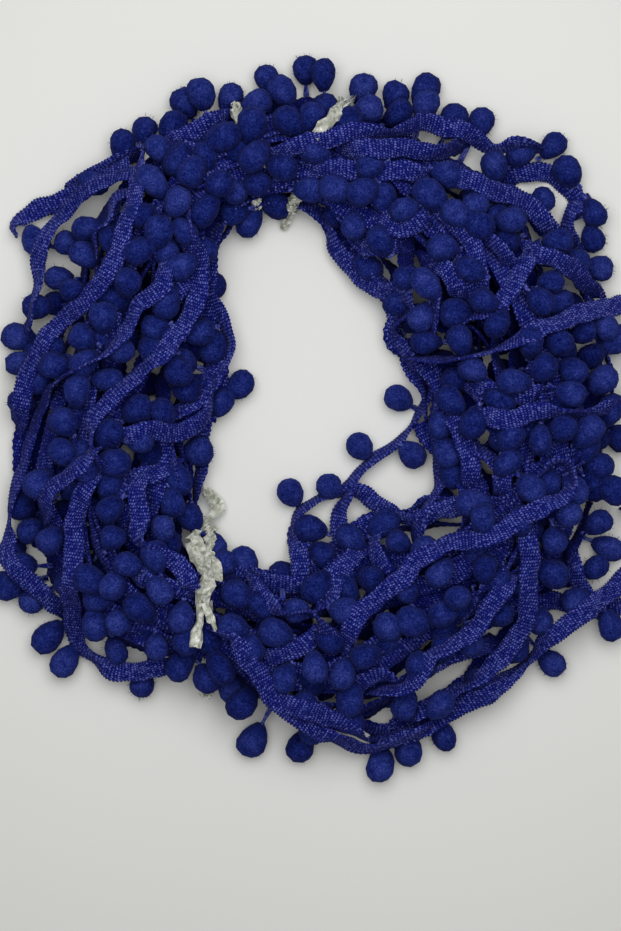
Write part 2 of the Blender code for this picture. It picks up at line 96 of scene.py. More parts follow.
# Stretches of braid that show, under the pompoms beside them and over them.
# Each point is x, y in mm and the lean: 0 lies flat, 90 stands on edge.
strandsUnder = (
    ((-55, 97, 70), (-54, 80, 60), (-51, 66, 50), (-45, 51, 45), (-39, 38, 45), (-44, 26, 60),
     (-56, 10, 40), (-67, 4, 30)),
    ((61, 79, 60), (63, 65, 70), (63, 55, 60), (60, 42, 50)),
    ((71, 84, 40), (78, 75, 20), (84, 65, 10), (86, 55, 30)),
    ((25, 89, 30), (36, 86, 10), (47, 89, 30)),
    ((34, 102, 40), (44, 96, 20), (54, 99, 30), (61, 106, 50)),
    ((-64, 99, 30), (-60, 88, 20), (-61, 79, 50)),
    ((-74, 62, 20), (-65, 67, 10), (-56, 73, 30)),
    ((-72, -22, 30), (-81, -28, 20), (-90, -30, 20), (-97, -37, 40), (-101, -48, 40)),
    ((64, 10, 70), (61, -5, 80), (63, -20, 80), (65, -32, 70), (58, -45, 60), (54, -56, 50)),
    ((142, -46, 80), (138, -57, 80), (133, -70, 70), (131, -80, 60)),
    ((116, -93, 10), (130, -92, 0), (145, -95, 10), (156, -93, 20)),
    ((21, -137, 30), (30, -130, 20), (39, -129, 40), (44, -135, 60)),
    ((0, 127, 30), (20, 126, 20), (44, 125, 10), (60, 123, 30)),
    ((102, 124, 20), (119, 125, 10), (132, 113, 30), (134, 106, 60)),
    ((-70, 140, 20), (-55, 147, 10), (-44, 152, 30)),
    ((8, 98, 70), (15, 82, 40), (25, 71, 25), (36, 65, 30), (45, 66, 60), (49, 60, 80), (51, 55, 80),
     (42, 46, 70), (45, 37, 45), (56, 24, 70)),
    ((111, 85, 30), (107, 76, 20), (99, 63, 20), (92, 57, 40), (79, 51, 70), (73, 46, 60)),
    ((83, 15, 20), (102, 13, 10), (117, 14, 40)),
    ((71, 6, 20), (75, -6, 10), (80, -18, 0), (82, -33, 20)),
    ((103, -16, 10), (98, -26, 0), (97, -37, 20)),
    ((92, -113, 10), (81, -116, 0), (65, -120, 10), (54, -128, 30)),
    ((26, -64, 20), (15, -76, 10), (11, -88, 50), (4, -94, 70)),
    ((-7, -60, 10), (-5, -70, 0), (-5, -82, 10)),
    ((-25, -120, 20), (-10, -117, 10), (1, -109, 20), (7, -107, 40)),
    ((-70, -16, 60), (-68, -24, 70), (-68, -33, 60)),
    ((16, -36, 60), (24, -35, 40), (38, -45, 30), (53, -50, 40), (64, -46, 30), (74, -44, 20),
     (85, -42, 30)),
    ((-118, 117, 50), (-108, 123, 60), (-98, 130, 60), (-90, 134, 40)),
    ((-67, 136, 20), (-57, 135, 15), (-46, 133, 30)),
    ((-68, 126, 30), (-58, 128, 25), (-50, 127, 40)),
    ((62, 108, 40), (72, 100, 30), (80, 90, 20), (84, 78, 15), (86, 66, 30)),
    ((60, 80, 20), (70, 73, 20), (76, 63, 40)),
    ((84, 96, 50), (93, 88, 40), (101, 79, 60)),
    ((133, -70, 40), (136, -82, 40), (142, -94, 40), (150, -102, 60)),
    ((20, -34, 60), (16, -44, 40), (14, -54, 40), (15, -64, 50)),
    ((36, -52, 50), (32, -62, 50), (36, -72, 40), (42, -80, 50)),
    ((-90, -78, 40), (-80, -82, 30), (-68, -85, 30), (-60, -90, 50)),
    ((-32, -74, 50), (-22, -80, 40), (-10, -83, 30), (2, -84, 50)),
)
strandsOver = (
    ((-88, 115, 60), (-98, 111, 70), (-101, 100, 75), (-107, 95, 75), (-108, 87, 70)),
    ((-108, -15, 60), (-113, -21, 40), (-122, -29, 30), (-131, -37, 40), (-133, -48, 60)),
    ((136, 108, 40), (131, 104, 60), (130, 96, 50), (135, 89, 60)),
    ((-86, 124, 30), (-99, 121, 40), (-110, 115, 35), (-121, 106, 30), (-129, 95, 30), (-134, 85, 35),
     (-136, 75, 40), (-136, 65, 55), (-139, 52, 60), (-142, 45, 65)),
    ((-72, 80, 30), (-74, 68, 20), (-86, 58, 40), (-91, 46, 30), (-102, 33, 80), (-119, 24, 80),
     (-130, 16, 70), (-139, 0, 50), (-145, -22, 50), (-150, -45, 70), (-149, -68, 20), (-137, -84, 10),
     (-124, -96, 0)),
    ((-84, 133, 70), (-88, 110, 30), (-95, 87, 15), (-104, 69, 10), (-114, 59, 10), (-128, 46, 30),
     (-136, 34, 20), (-142, 20, 10), (-147, 0, 20)),
    ((-61, 100, 60), (-59, 90, 50), (-55, 80, 30), (-54, 70, 20), (-59, 55, 10), (-72, 36, 20),
     (-87, 22, 40), (-101, 10, 30), (-108, 0, 50), (-109, -14, 70), (-105, -24, 40)),
    ((21, 135, 10), (44, 136, 10), (61, 134, 40), (75, 138, 60)),
    ((-14, 134, 30), (0, 138, 40), (20, 143, 30), (38, 143, 50)),
    ((75, 121, 10), (89, 116, 0), (109, 109, 0), (120, 98, 20)),
    ((43, 144, 60), (50, 147, 40), (59, 149, 30), (73, 145, 20), (84, 140, 30), (92, 136, 60),
     (101, 137, 70), (110, 135, 70)),
    ((112, 85, 20), (132, 75, 30), (142, 66, 20)),
    ((163, 30, 70), (169, 37, 80), (171, 47, 70), (166, 55, 40), (158, 57, 20), (150, 57, 10),
     (129, 51, 20), (114, 45, 30), (99, 38, 60), (86, 33, 80), (69, 30, 80), (54, 31, 60)),
    ((88, 2, 30), (96, 0, 10), (113, 4, 10), (124, 4, 60), (142, 4, 70), (156, 9, 40), (164, 14, 60),
     (168, 22, 80), (164, 30, 80)),
    ((100, -81, 30), (92, -90, 10), (85, -103, 40), (73, -111, 50), (62, -117, 40), (54, -127, 30),
     (47, -134, 60), (36, -136, 70)),
    ((109, -57, 10), (110, -77, 0), (109, -96, 0), (103, -111, 10), (92, -123, 30), (81, -132, 60),
     (68, -139, 50), (55, -146, 40)),
    ((117, -26, 80), (122, -21, 80), (129, -22, 80), (132, -30, 70), (129, -37, 50), (122, -41, 40),
     (115, -43, 20), (106, -49, 0), (100, -53, 30), (90, -58, 10), (78, -60, 20), (69, -62, 50),
     (54, -69, 10), (47, -79, 0), (32, -90, 0), (23, -100, 0), (18, -110, 10)),
    ((160, -48, 80), (166, -57, 80), (166, -68, 50), (159, -77, 20), (144, -90, 10), (131, -99, 0),
     (117, -111, 40), (112, -118, 80), (104, -126, 60), (96, -132, 10), (84, -139, 0), (73, -145, 30),
     (50, -158, 40), (35, -161, 60)),
    ((-29, -82, 40), (-24, -88, 10), (-19, -93, 40), (-12, -97, 80), (-1, -95, 80), (4, -99, 70),
     (10, -108, 50)),
    ((-14, -139, 10), (1, -146, 10), (16, -151, 20), (25, -158, 60)),
    ((-46, -107, 75), (-39, -109, 55), (-33, -116, 20), (-27, -126, 0), (-19, -137, 0), (-7, -148, 10),
     (5, -155, 10), (16, -160, 40), (28, -164, 60), (45, -159, 50), (60, -153, 40)),
    ((-110, -30, 20), (-117, -44, 0), (-118, -58, 0), (-119, -74, 0), (-120, -90, 0), (-119, -104, 10),
     (-116, -113, 30), (-108, -120, 50), (-98, -125, 20), (-85, -126, 0), (-74, -124, 20)),
    ((-86, -28, 0), (-86, -44, 0), (-86, -57, 20), (-82, -63, 60), (-71, -69, 20), (-61, -78, 10),
     (-57, -88, 40)),
    ((-94, -8, 30), (-82, -6, 10), (-66, -6, 10), (-58, -3, 30), (-51, 3, 70), (-49, 14, 80)),
)

# Pompoms that show, by part of the wreath: where the camera sees them, in halves of a mm from
# the upper left corner of its view.
seenPompoms = (
    # upper left
    (185, 103), (202, 97), (230, 96), (257, 101), (267, 79), (282, 89), (252, 125), (289, 123), (305, 70),
    (123, 145), (145, 130), (160, 150), (173, 126), (223, 138), (237, 150), (255, 157), (282, 168),
    (192, 173), (220, 185), (258, 184), (153, 183), (178, 203), (205, 212), (234, 213), (250, 223),
    (160, 232), (165, 250), (203, 250), (140, 250), (86, 228), (65, 242), (83, 254), (37, 242),
    (112, 240), (128, 283), (183, 267), (57, 277), (72, 290), (37, 307), (18, 337), (83, 337), (103, 317),
    (167, 302), (200, 333), (213, 347), (178, 160), (205, 155), (235, 190), (140, 215), (275, 205),
    (185, 232), (312, 150), (310, 190), (335, 190), (94, 183),
    # upper right
    (323, 77), (363, 88), (395, 95), (425, 90), (425, 108), (368, 110), (312, 117), (347, 121),
    (453, 120), (481, 123), (553, 146), (567, 172), (495, 165), (520, 153), (447, 174), (370, 167),
    (330, 190), (362, 193), (383, 195), (404, 210), (337, 213), (354, 227), (475, 205), (510, 221),
    (543, 200), (557, 243), (593, 214), (593, 239), (600, 268), (442, 248), (478, 226), (380, 241),
    (368, 268), (407, 278), (425, 285), (483, 301), (552, 282), (541, 302), (420, 318), (425, 342),
    (460, 340), (530, 342), (558, 341), (585, 331), (605, 325), (617, 339), (497, 325), (470, 270),
    (575, 262), (455, 215), (430, 195),
    # left
    (20, 363), (38, 378), (20, 401), (55, 366), (78, 390), (63, 422), (107, 380), (84, 363), (138, 410),
    (163, 413), (178, 371), (185, 388), (109, 434), (115, 463), (110, 484), (110, 509), (113, 538),
    (63, 452), (40, 483), (20, 508), (30, 531), (12, 552), (23, 565), (52, 540), (33, 600), (10, 585),
    (48, 637), (65, 661), (142, 684), (115, 651), (95, 624), (118, 622), (90, 580), (113, 585),
    (128, 564), (144, 573), (156, 556), (140, 608), (182, 617), (187, 641), (180, 666), (157, 647),
    (173, 503), (191, 517), (163, 528), (199, 452), (150, 350), (120, 350), (52, 345), (140, 440),
    (85, 470), (98, 598), (160, 590), (178, 480), (240, 385), (222, 403),
    # lower left
    (213, 547), (223, 563), (244, 562), (238, 594), (233, 627), (275, 632), (221, 668), (230, 690),
    (284, 678), (207, 678), (253, 741), (300, 747), (315, 668), (343, 674), (250, 648), (262, 605),
    (297, 610), (205, 640), (243, 702), (305, 705), (330, 640), (350, 700), (315, 730), (352, 722),
    # right
    (472, 369), (513, 382), (543, 368), (573, 371), (602, 380), (570, 394), (473, 423), (447, 452),
    (510, 437), (563, 428), (587, 431), (530, 488), (549, 482), (473, 503), (482, 518), (555, 541),
    (552, 573), (507, 463), (567, 513), (600, 523), (610, 548), (597, 568), (587, 448), (600, 465),
    (610, 410), (450, 400), (500, 400), (520, 520), (575, 490), (440, 425), (540, 440), (612, 490),
    (452, 474),
    # lower right
    (310, 529), (350, 538), (323, 554), (383, 524), (398, 541), (372, 580), (317, 587), (440, 573),
    (443, 613), (413, 621), (388, 627), (388, 641), (460, 607), (485, 568), (477, 551), (500, 581),
    (540, 621), (443, 648), (552, 663), (610, 625), (457, 597), (404, 705), (443, 735), (408, 750),
    (381, 765), (420, 665), (470, 640), (500, 615), (515, 650), (480, 680), (575, 600), (405, 590),
    (425, 550), (345, 610), (365, 655),
)
pompomsOverBraids = ((440, 704), (399, 111))

# The top of the heap as it grows, in mm, with a cell for each mm of the plan.
heap = {"halfWide": 190, "halfLong": 200, "edgeHeight": 11, "domePower": 2.4}
heapTop = np.zeros((2 * heap["halfLong"] + 1, 2 * heap["halfWide"] + 1))


def blendFour(four, share):
    # a smooth curve through four values, between the second and the third
    before, start, end, after = four
    return 0.5 * (2 * start + (end - before) * share
                  + (2 * before - 5 * start + 4 * end - after) * share ** 2
                  + (3 * start - before - 3 * end + after) * share ** 3)


def ringAt(angle):
    # inner edge, outer edge and crest of the wreath at any angle
    place = (degrees(angle) % 360) / 360 * len(ring)
    row = int(place)
    rows = [np.array(ring[(row + step) % len(ring)][1:], float) for step in (-1, 0, 1, 2)]
    return blendFour(rows, place - row)


def domeAt(x, y):
    # the height that the finished heap should have at a place
    inner, outer, crest = ringAt(atan2(y, x))
    lane = (hypot(x, y) - inner) / (outer - inner)
    edge = heap["edgeHeight"]
    if lane < 0 or lane > 1:
        return max(edge - max(-lane, lane - 1) * (outer - inner), 0)
    return edge + (crest - edge) * (1 - abs(2 * lane - 1) ** heap["domePower"])


def withinRims(x, y, margin):
    # whether a place lies in the wreath by a margin in mm
    inner, outer, _crest = ringAt(atan2(y, x))
    return inner + margin < hypot(x, y) < outer - margin


def cellsOf(x, y):
    column = np.clip(np.rint(np.asarray(x) + heap["halfWide"]).astype(int), 0, heapTop.shape[1] - 1)
    row = np.clip(np.rint(np.asarray(y) + heap["halfLong"]).astype(int), 0, heapTop.shape[0] - 1)
    return row, column


def stray(most):
    # a drawn value between minus and plus the most
    return draw.uniform(-most, most)


def unit(rows):
    return rows / np.maximum(np.linalg.norm(rows, axis=-1, keepdims=True), 1e-9)


def sizesOf(rows):
    return np.linalg.norm(rows, axis=1)


def stepsOf(rows):
    return sizesOf(np.diff(rows, axis=0))


def walkedAlong(rows):
    # how far along a line each of its points lies
    return np.concatenate([[0], np.cumsum(stepsOf(rows))])


def rowsAt(at, walked, rows):
    # the rows of a line at other distances along it
    return np.stack([np.interp(at, walked, column) for column in rows.T], axis=1)


# Sizes of the braid in mm. A wander is its size and the length in mm of its longest wave, and the
# braid is felt and pressed along so many lines across its width.
braid = {
    "width": 10.2, "thick": 1.5, "ribPitch": 1.75, "ribHeight": 0.24, "scallop": 0.38, "step": 2.5,
    "curveParts": 12, "feltLines": 9, "pressLines": 12, "softenRounds": 36, "smoothRounds": 3, "sink": 3,
    "longer": 5, "endLean": 65, "tuck": 14, "tuckLength": 14, "aboveFloor": 0.8, "fadeLength": 10,
    "turnWander": (9, 47), "sideWander": (0.55, 33), "widthWander": (0.035, 29), "curl": (0.35, 41),
}


def evenRoute(points, step):
    # points at an even step on a smooth curve through the given ones
    rows = np.array(points, float)
    rows = np.vstack([2 * rows[0] - rows[1], rows, 2 * rows[-1] - rows[-2]])
    shares = np.linspace(0, 1, braid["curveParts"], endpoint=False)
    fine = [blendFour(rows[at - 1:at + 3], share) for at in range(1, len(rows) - 2) for share in shares]
    fine = np.array(fine + [rows[-2]])
    walked = walkedAlong(fine[:, :2])
    at = np.linspace(0, walked[-1], max(int(round(walked[-1] / step)), 2) + 1)
    return rowsAt(at, walked, fine)


def braidFrames(centre, lean):
    # along the braid, across its width and out of its face
    along = unit(np.gradient(centre, axis=0))
    level = unit(np.cross(np.array([0, 0, 1]), along))
    face = np.cross(along, level)
    turn = np.radians(lean)[:, None]
    across = level * np.cos(turn) + face * np.sin(turn)
    return along, across, np.cross(along, across)


def restBraid(route, lowest, highest):
    # lays a braid on the heap as it is now, pressed between a lowest and a highest height
    lean = np.radians(route[:, -1])
    way = unit(np.gradient(route[:, :2], axis=0))
    left = np.stack([-way[:, 1], way[:, 0]], axis=1)
    half = braid["width"] / 2
    contact = np.zeros(len(route))
    for share in np.linspace(-1, 1, braid["feltLines"]):
        place = route[:, :2] + left * half * share * np.cos(lean)[:, None]
        under = heapTop[cellsOf(place[:, 0], place[:, 1])]
        contact = np.maximum(contact, under + braid["thick"] / 2 - half * share * np.sin(lean))
    clear = half * np.abs(np.sin(lean)) + braid["thick"] / 2
    raised = np.maximum(contact, np.minimum(lowest, contact + braid["sink"]))
    contact = np.minimum(raised, np.maximum(highest, clear))
    height = contact.copy()
    for _ in range(braid["softenRounds"]):
        near = np.concatenate([height[:1], height, height[-1:]])
        height = np.maximum(contact, 0.25 * near[:-2] + 0.5 * near[1:-1] + 0.25 * near[2:])
    return height


def pressBraid(centre, lean):
    # raises the heap by a braid that has been laid
    along, across, _face = braidFrames(centre, lean)
    for back in (0, 0.5):
        for share in np.linspace(-1, 1, braid["pressLines"]):
            places = centre + across * (braid["width"] / 2 * share) + along * (braid["step"] * back)
            np.maximum.at(heapTop, cellsOf(places[:, 0], places[:, 1]), places[:, 2] + braid["thick"] / 2)


# Sizes of the pompoms in mm. The centres of those that show are to lie below the dome, give or take
# lift and sink, and each hangs from the level braid edge whose distance is nearest to rootReach.
pompom = {
    "long": 16.6, "wide": 14.2, "pitch": 23, "stem": 3.6, "contact": 5.6, "press": 6.2, "floor": 6.9,
    "below": 6, "lift": 3, "sink": 6, "raiseCost": 4, "rootReach": 10.6, "rootLevel": 0.6,
    "apart": 12.4, "fillClear": 11, "strandClear": 7, "sizeSpread": 0.09, "squeeze": 0.09,
    "stretch": (-0.10, 0.14), "wobble": 0.05, "taper": 0.06, "neck": 0.16, "dimple": 0.14, "stemSink": 1.2,
    "cuts": 2,
}


def window(x, y, radius):
    # the cells of the heap near a place, and how high a ball of that radius stands over each
    row, column = cellsOf(x, y)
    reach = int(radius) + 1
    rows = np.arange(max(row - reach, 0), min(row + reach + 1, heapTop.shape[0]))
    columns = np.arange(max(column - reach, 0), min(column + reach + 1, heapTop.shape[1]))
    offY = rows[:, None] - heap["halfLong"] - y
    offX = columns[None, :] - heap["halfWide"] - x
    return np.ix_(rows, columns), np.sqrt(np.maximum(radius ** 2 - offX ** 2 - offY ** 2, 0))


def restPompom(x, y):
    cells, rise = window(x, y, pompom["contact"])
    return max(float(np.where(rise > 0, heapTop[cells] + rise, 0).max()), pompom["floor"])


def restPompomAmong(x, y, wanted, others):
    # the height nearest to the wanted one at which a ball clears the ones already laid near it
    shut = []
    for _root, other in others:
        flat = hypot(other[0] - x, other[1] - y)
        if flat < pompom["apart"]:
            reach = sqrt(pompom["apart"] ** 2 - flat ** 2)
            shut.append((other[2] - reach, other[2] + reach))
    options = [wanted] + [edge for pair in shut for edge in pair]
    options = [z for z in options if z >= pompom["floor"] and not any(a < z < b for a, b in shut)]
    return min(options, key=lambda z: abs(z - wanted) + pompom["raiseCost"] * (z > wanted), default=wanted)


def pressPompom(x, y, z):
    cells, rise = window(x, y, pompom["press"])
    heapTop[cells] = np.where(rise > 0, np.maximum(heapTop[cells], z + rise), heapTop[cells])


# Braids by centre line, lean and 1 where they show; pompoms by their root on a braid's edge and centre.
laidBraids, fillPompoms, topPompoms = [], [], []

# The buried turns: their lanes as shares of the way from the hole to the outer edge, layer by layer
# from the floor up, how they wander and lean, and how their pompoms hang.
fill = {
    "layers": (
        (0.92, 0.64, 0.36, 0.08), (0.98, 0.76, 0.50, 0.22, 0.02), (0.88, 0.62, 0.36, 0.13),
        (0.80, 0.54, 0.27), (0.70, 0.42),
    ),
    "points": 300, "inside": 5, "rims": 12, "wander": 0.055, "shift": 1.7, "leans": (42, 34, 12),
    "change": 0.12, "braidBelow": 11, "pompomBelow": 13, "pompomSink": 4, "rimClear": 4,
    "first": (4, 20), "swing": 0.5, "reach": (0.85, 1), "spacing": (0.96, 1.04),
}
pits = {"halfWide": 170, "halfLong": 176, "pitch": 6, "stray": 3, "below": 9, "rimClear": 6}

# Places where the floor shows through the heap, as the camera sees them, and how far in mm the
# buried turns and pompoms keep from their middle.
opening = {"height": 15, "margin": 2}
openRow = namedtuple("openRow", "column row reach")
openPlaces = [openRow(*row) for row in (
    (363, 236, 6), (419, 264, 8), (389, 274, 5), (419, 298, 8), (404, 330, 6), (444, 342, 8), (353, 204, 6),
    (459, 139, 6), (529, 187, 6), (549, 182, 6), (557, 215, 6), (575, 246, 7), (357, 517, 6), (369, 563, 7),
    (333, 605, 6), (577, 535, 8), (561, 601, 7), (613, 513, 8), (483, 635, 7), (527, 653, 8), (451, 671, 9),
    (495, 675, 7), (12, 527, 7), (38, 559, 8), (182, 447, 6), (149, 471, 5), (154, 398, 5), (98, 647, 5),
    (36, 320, 6), (48, 254, 5), (70, 276, 5), (204, 364, 6), (386, 720, 8), (482, 440, 6), (403, 500, 7),
    (373, 314, 10), (405, 334, 5),
)]
openSpots = [(*fromView(*planOf(row.column, row.row), opening["height"]), row.reach) for row in openPlaces]


def clearOfOpen(x, y):
    # a place moved away from the middle of any opening that is near it
    for openX, openY, reach in openSpots:
        away = hypot(x - openX, y - openY)
        if 0 < away < 2 * reach:
            push = reach * (1 - away / (2 * reach)) ** 2 / away
            x, y = x + (x - openX) * push, y + (y - openY) * push
    return x, y


def nearOpen(x, y):
    return any(hypot(openX - x, openY - y) < reach + opening["margin"] for openX, openY, reach in openSpots)


def layTurn(lane, nextLane, number):
    # one whole turn low in the heap, which changes over to the next turn's lane at its end
    shift = fill["shift"] * number
    waves = 4 + number % 4
    middle, slow, quick = fill["leans"]
    points = []
    for angle in np.arange(0, tau + 0.001, tau / fill["points"]):
        share = min(max((angle / tau - 1 + fill["change"]) / fill["change"], 0), 1)
        here = lane + (nextLane - lane) * share * share * (3 - 2 * share)
        here += fill["wander"] * (sin(waves * angle + shift) - sin(shift) * (1 - share))
        inner, outer, _crest = ringAt(angle)
        radius = inner + fill["inside"] + (outer - inner - fill["rims"]) * min(max(here, 0), 1)
        lean = middle + slow * sin(3 * angle + 2 * shift) + quick * sin(7 * angle + shift)
        points.append((*clearOfOpen(radius * cos(angle), radius * sin(angle)), lean))
    route = evenRoute(points, braid["step"])
    dome = np.array([domeAt(x, y) for x, y in route[:, :2]])
    height = restBraid(route, np.zeros(len(route)), dome - fill["braidBelow"])
    return np.column_stack([route[:, :2], height]), route[:, 2]


def hangPompoms(centre, lean, side, first):
    # the pompoms of one edge, each dropped beside the braid onto what lies there
    along, across, _face = braidFrames(centre, lean)
    walked = walkedAlong(centre)
    place = first
    while place < walked[-1]:
        at = int(np.searchsorted(walked, place))
        root = centre[at] + across[at] * side * braid["width"] / 2
        flat = unit(np.array([-along[at, 1], along[at, 0]]) * side)
        swing = stray(fill["swing"])
        flat = np.array([flat[0] * cos(swing) - flat[1] * sin(swing),
                         flat[0] * sin(swing) + flat[1] * cos(swing)])
        reach = pompom["stem"] + pompom["long"] / 2
        x, y = root[:2] + flat * reach * draw.uniform(*fill["reach"])
        highest = max(domeAt(x, y) - fill["pompomBelow"], pompom["floor"])
        z = restPompom(x, y)
        if z < highest + fill["pompomSink"] and withinRims(x, y, fill["rimClear"]) and not nearOpen(x, y):
            z = min(z, highest)
            pressPompom(x, y, z)
            fillPompoms.append((root, np.array([x, y, z])))
        place += pompom["pitch"] * draw.uniform(*fill["spacing"])


def layFill():
    lanes = [lane for layer in fill["layers"] for lane in layer]
    for number, lane in enumerate(lanes):
        nextLane = lanes[min(number + 1, len(lanes) - 1)]
        centre, lean = layTurn(lane, nextLane, number)
        pressBraid(centre, lean)
        laidBraids.append((centre, lean, 0))
        hangPompoms(centre, lean, 1 if number % 2 else -1, draw.uniform(*fill["first"]))
    print("laid", len(lanes), "buried turns")


def lengthened(points):
    # the traced points with one more at each end, where the strand turns on edge and dives out of sight
    rows = np.array(points, float)
    ends = []
    for end, before in ((rows[0], rows[1]), (rows[-1], rows[-2])):
        place = end[:2] + unit(end[:2] - before[:2]) * braid["longer"]
        ends.append([*place, max(end[2], braid["endLean"])])
    return [ends[0], *rows, ends[1]]


# How low and how high a strand may lie, in mm from the dome, and the height it may always have:
# under the top pompoms, and over them.
bandRow = namedtuple("bandRow", "lowest highest always")
bandUnder, bandOver = bandRow(-9, -4, 12), bandRow(-2, 4, 27)


def layStrand(points, band):
    route = evenRoute(lengthened(points), braid["step"])
    dome = np.array([domeAt(x, y) for x, y in route[:, :2]])
    route[:, :2] = [fromView(x, y, z) for (x, y), z in zip(route[:, :2], dome)]
    height = restBraid(route, dome + band.lowest, np.maximum(dome + band.highest, band.always))
    walked = walkedAlong(route[:, :2])
    toEnd = np.minimum(walked, walked[-1] - walked)
    tuck = np.clip(1 - toEnd / braid["tuckLength"], 0, 1) ** 2 * braid["tuck"]
    floor = braid["width"] / 2 * np.sin(np.radians(route[:, 2])) + braid["aboveFloor"]
    centre = np.column_stack([route[:, :2], np.maximum(height - tuck, floor)])
    pressBraid(centre, route[:, 2])
    laidBraids.append((centre, route[:, 2], 1))


def edgesOf(centre, lean, reach):
    across = braidFrames(centre, lean)[1]
    return np.concatenate([centre + across * (side * reach) for side in (-1, 1)])


def laidEdges():
    return np.concatenate([edgesOf(centre, lean, braid["width"] / 2) for centre, lean, _shown in laidBraids])


def layTopPompom(x, y, z, edges):
    # lays a pompom and hangs it from the braid edge that suits it best
    pressPompom(x, y, z)
    centre = np.array([x, y, z])
    away = edges - centre
    miss = np.abs(sizesOf(away) - pompom["rootReach"]) + pompom["rootLevel"] * np.abs(away[:, 2])
    topPompoms.append((edges[np.argmin(miss)], centre))


def laySeenPompoms(spots, rise):
    edges = laidEdges()
    for column, row in spots:
        x, y = planOf(column, row)
        wanted = max(domeAt(x, y) - pompom["below"] + rise, pompom["floor"])
        x, y = fromView(x, y, wanted)
        highest = min(restPompom(x, y), wanted + pompom["lift"])
        wanted = max(highest, wanted - pompom["sink"], pompom["floor"])
        layTopPompom(x, y, restPompomAmong(x, y, wanted, topPompoms), edges)


def dropIntoPits():
    # more pompoms wherever the heap still has a pit, but for the places where the floor shows through
    edges = laidEdges()
    places = []
    for x in np.arange(-pits["halfWide"], pits["halfWide"] + 1, pits["pitch"]):
        for y in np.arange(-pits["halfLong"], pits["halfLong"] + 1, pits["pitch"]):
            places.append([c + stray(pits["stray"]) for c in (x, y)])
    draw.shuffle(places)
    before = len(topPompoms)
    for x, y in places:
        if nearOpen(x, y) or not withinRims(x, y, pits["rimClear"]):
            continue
        z = restPompom(x, y)
        if z <= max(domeAt(x, y) - pits["below"], pompom["floor"] + 0.5):
            layTopPompom(x, y, z, edges)
    print("dropped", len(topPompoms) - before, "pompoms into pits")


def clearFill():
    # takes out the buried pompoms that something laid later has pressed into
    strandLines = np.concatenate([centre for centre, _lean, shown in laidBraids if shown])
    tops = np.array([centre for _root, centre in topPompoms])
    kept = [(root, centre) for root, centre in fillPompoms
            if sizesOf(tops - centre).min() > pompom["fillClear"]
            and sizesOf(strandLines - centre).min() > pompom["strandClear"]]
    print("kept", len(kept), "of", len(fillPompoms), "buried pompoms")
    return kept


# The cut end at the upper left and the turn that lies in the hole: x, y, height and lean.
looseEnd = {
    "points": ((-92, 131, 25, 20), (-105, 126, 17, 15), (-119, 119, 11, 10), (-136, 112, 7, 5),
               (-147, 107, 5, 10), (-152, 104, 5, 30), (-154, 100, 7, 75), (-152, 96, 7, 80)),
    "pompoms": ((-143, 94),),
}
innerBow = {
    "points": ((66, 34, 12, 60), (62, 14, 6, 60), (46, -10, 6, 80), (31, -21, 6, 50), (15, -36, 6, 75),
               (3, -41, 6, 75), (-6, -47, 6, 65), (-9, -56, 7, 60), (-7, -67, 9, 60)),
    "pompoms": ((46, 12), (53, -17), (26, -13), (10, -34), (-10, -37)),
}


def layHeap():
    # from the floor up; returns the root and the centre of every pompom
    layFill()
    for row in (looseEnd, innerBow):
        route = evenRoute(row["points"], braid["step"])
        pressBraid(route[:, :3], route[:, 3])
    for traced, band, spots, rise in ((strandsUnder, bandUnder, seenPompoms, 0),
                                      (strandsOver, bandOver, pompomsOverBraids, pompom["below"])):
        for points in traced:
            layStrand(points, band)
        laySeenPompoms(spots, rise)
    kept = clearFill()
    dropIntoPits()
    return kept + topPompoms


laidPompoms = layHeap()
print("laid", len(laidBraids), "braids and", len(laidPompoms), "pompoms, heap up to", round(heapTop.max(), 1))


def newMesh(name, points, faces, material, uv=None, toneAndPaintedShade=None):
    mesh = bpy.data.meshes.new(name)
    mesh.from_pydata((np.asarray(points) + np.array([planShift.x, planShift.y, 0])) * mm, [], faces)
    mesh.update()
    if uv is not None:
        layer = mesh.uv_layers.new(name="weave")
        corners = np.zeros(len(mesh.loops), int)
        mesh.loops.foreach_get("vertex_index", corners)
        layer.data.foreach_set("uv", np.asarray(uv)[corners].astype(np.float32).ravel())
    if toneAndPaintedShade is not None:
        values = mesh.attributes.new("toneAndPaintedShade", "FLOAT", "POINT")
        values.data.foreach_set("value", np.asarray(toneAndPaintedShade, np.float32))
    mesh.materials.append(material)
    mesh.shade_smooth()
    made = bpy.data.objects.new(name, mesh)
    bpy.context.scene.collection.objects.link(made)
    return made


def startMaterial(name):
    material = bpy.data.materials.new(name)
    material.use_nodes = True
    tree = material.node_tree
    return material, tree, tree.nodes["Principled BSDF"]


def setSockets(shader, values):
    for socket, value in values.items():
        shader.inputs[socket].default_value = value


def addNode(tree, kind, sockets, **settings):
    # a node with its settings; each of its sockets gets a value or the output that feeds it
    node = tree.nodes.new("ShaderNode" + kind)
    for name, value in settings.items():
        setattr(node, name, value)
    for socket, value in sockets.items():
        if isinstance(value, (int, float)):
            node.inputs[socket].default_value = value
        else:
            tree.links.new(value, node.inputs[socket])
    return node.outputs


def addMath(tree, operation, *terms):
    return addNode(tree, "Math", dict(enumerate(terms)), operation=operation)[0]


def addRamp(tree, factor, stops):
    output = addNode(tree, "ValToRGB", {0: factor})[0]
    elements = output.node.color_ramp.elements
    while len(elements) < len(stops):
        elements.new(0.5)
    for element, (place, colour) in zip(elements, stops):
        element.position = place
        element.color = (*colour, 1)
    return output


def objectPlace(tree):
    return addNode(tree, "TexCoord", {})["Object"]


def toneAndPaintedShadeOf(tree):
    return addNode(tree, "Attribute", {}, attribute_name="toneAndPaintedShade")["Fac"]


def addNoise(tree, vector, scale, detail=3, roughness=0.55):
    sockets = {"Vector": vector, "Scale": scale, "Detail": detail, "Roughness": roughness}
    return addNode(tree, "TexNoise", sockets)["Fac"]


